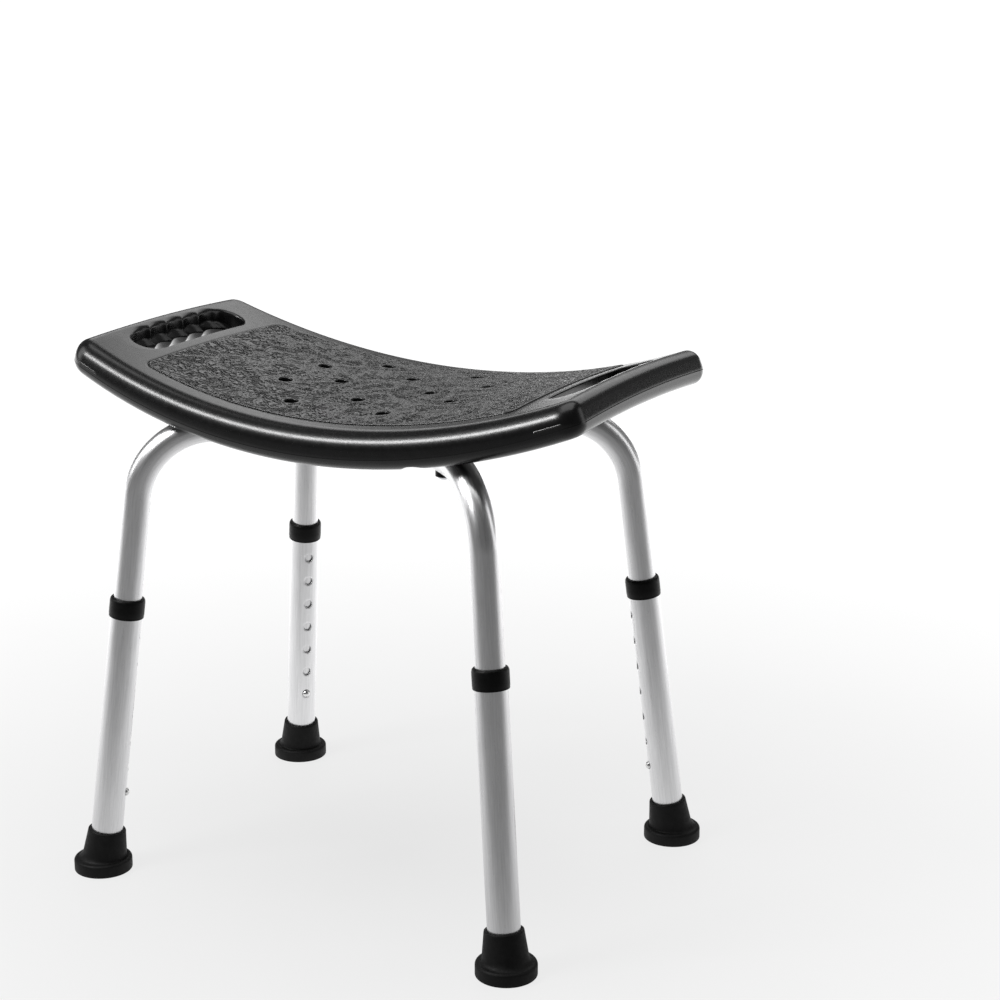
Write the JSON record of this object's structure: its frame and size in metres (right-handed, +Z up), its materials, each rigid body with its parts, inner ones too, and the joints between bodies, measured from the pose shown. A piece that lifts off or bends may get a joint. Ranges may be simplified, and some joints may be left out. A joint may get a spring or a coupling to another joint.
{
  "type": "shower stool",
  "caption": "Curved-seat shower stool with hand slots, drain holes, embossed seat panel and splayed telescopic legs on rubber feet.",
  "frame": {"origin": "on the floor under the middle of the seat", "axes": "+X along the seat to its right end as seen from the front, +Y to the back, +Z up"},
  "size_m": [0.5154, 0.3762, 0.4902],
  "materials": {
    "seat_plastic": "satin black polyethylene, embossed on the panel",
    "tube_aluminium": "bead-blasted and anodised",
    "collar_plastic": "satin black",
    "foot_rubber": "matt black",
    "button_steel": "polished",
    "spring_steel": "plain spring steel",
    "zinc_steel": "zinc plated",
    "insert_brass": "plain"
  },
  "bodies": {
    "frame": {"seat_shell": "seat_plastic", "upper_leg_fl": "tube_aluminium", "upper_leg_fr": "tube_aluminium", "upper_leg_bl": "tube_aluminium", "upper_leg_br": "tube_aluminium", "tube_plug_fl": "collar_plastic", "tube_plug_fr": "collar_plastic", "tube_plug_bl": "collar_plastic", "tube_plug_br": "collar_plastic", "button_spring_fl": "spring_steel", "button_spring_fr": "spring_steel", "button_spring_bl": "spring_steel", "button_spring_br": "spring_steel", "seat_screws": "zinc_steel", "saddle_washers": "zinc_steel", "threaded_inserts": "insert_brass"},
    "leg_fl": {"lower_leg_fl": "tube_aluminium", "leg_collar_fl": "collar_plastic", "rubber_foot_fl": "foot_rubber", "foot_washer_fl": "zinc_steel"},
    "button_fl": {"snap_button_fl": "button_steel"},
    "leg_fr": {"lower_leg_fr": "tube_aluminium", "leg_collar_fr": "collar_plastic", "rubber_foot_fr": "foot_rubber", "foot_washer_fr": "zinc_steel"},
    "button_fr": {"snap_button_fr": "button_steel"},
    "leg_bl": {"lower_leg_bl": "tube_aluminium", "leg_collar_bl": "collar_plastic", "rubber_foot_bl": "foot_rubber", "foot_washer_bl": "zinc_steel"},
    "button_bl": {"snap_button_bl": "button_steel"},
    "leg_br": {"lower_leg_br": "tube_aluminium", "leg_collar_br": "collar_plastic", "rubber_foot_br": "foot_rubber", "foot_washer_br": "zinc_steel"},
    "button_br": {"snap_button_br": "button_steel"}
  },
  "joints": [
    {"name": "leg_slide_fl", "type": "slide", "parent": "frame", "child": "leg_fl", "axis": [-0.1014, -0.0764, -0.9919], "range_m": [0, 0.1524]},
    {"name": "button_press_fl", "type": "slide", "parent": "frame", "child": "button_fl", "axis": [-0.7922, -0.5969, 0.127], "range_m": [0, 0.0048], "stiffness_N_per_m": 1800, "springref_m": -0.003, "deforming": ["button_spring_fl"]},
    {"name": "leg_slide_fr", "type": "slide", "parent": "frame", "child": "leg_fr", "axis": [0.1014, -0.0764, -0.9919], "range_m": [0, 0.1524]},
    {"name": "button_press_fr", "type": "slide", "parent": "frame", "child": "button_fr", "axis": [0.7922, -0.5969, 0.127], "range_m": [0, 0.0048], "stiffness_N_per_m": 1800, "springref_m": -0.003, "deforming": ["button_spring_fr"]},
    {"name": "leg_slide_bl", "type": "slide", "parent": "frame", "child": "leg_bl", "axis": [-0.1014, 0.0764, -0.9919], "range_m": [0, 0.1524]},
    {"name": "button_press_bl", "type": "slide", "parent": "frame", "child": "button_bl", "axis": [-0.7922, 0.5969, 0.127], "range_m": [0, 0.0048], "stiffness_N_per_m": 1800, "springref_m": -0.003, "deforming": ["button_spring_bl"]},
    {"name": "leg_slide_br", "type": "slide", "parent": "frame", "child": "leg_br", "axis": [0.1014, 0.0764, -0.9919], "range_m": [0, 0.1524]},
    {"name": "button_press_br", "type": "slide", "parent": "frame", "child": "button_br", "axis": [0.7922, 0.5969, 0.127], "range_m": [0, 0.0048], "stiffness_N_per_m": 1800, "springref_m": -0.003, "deforming": ["button_spring_br"]}
  ]
}
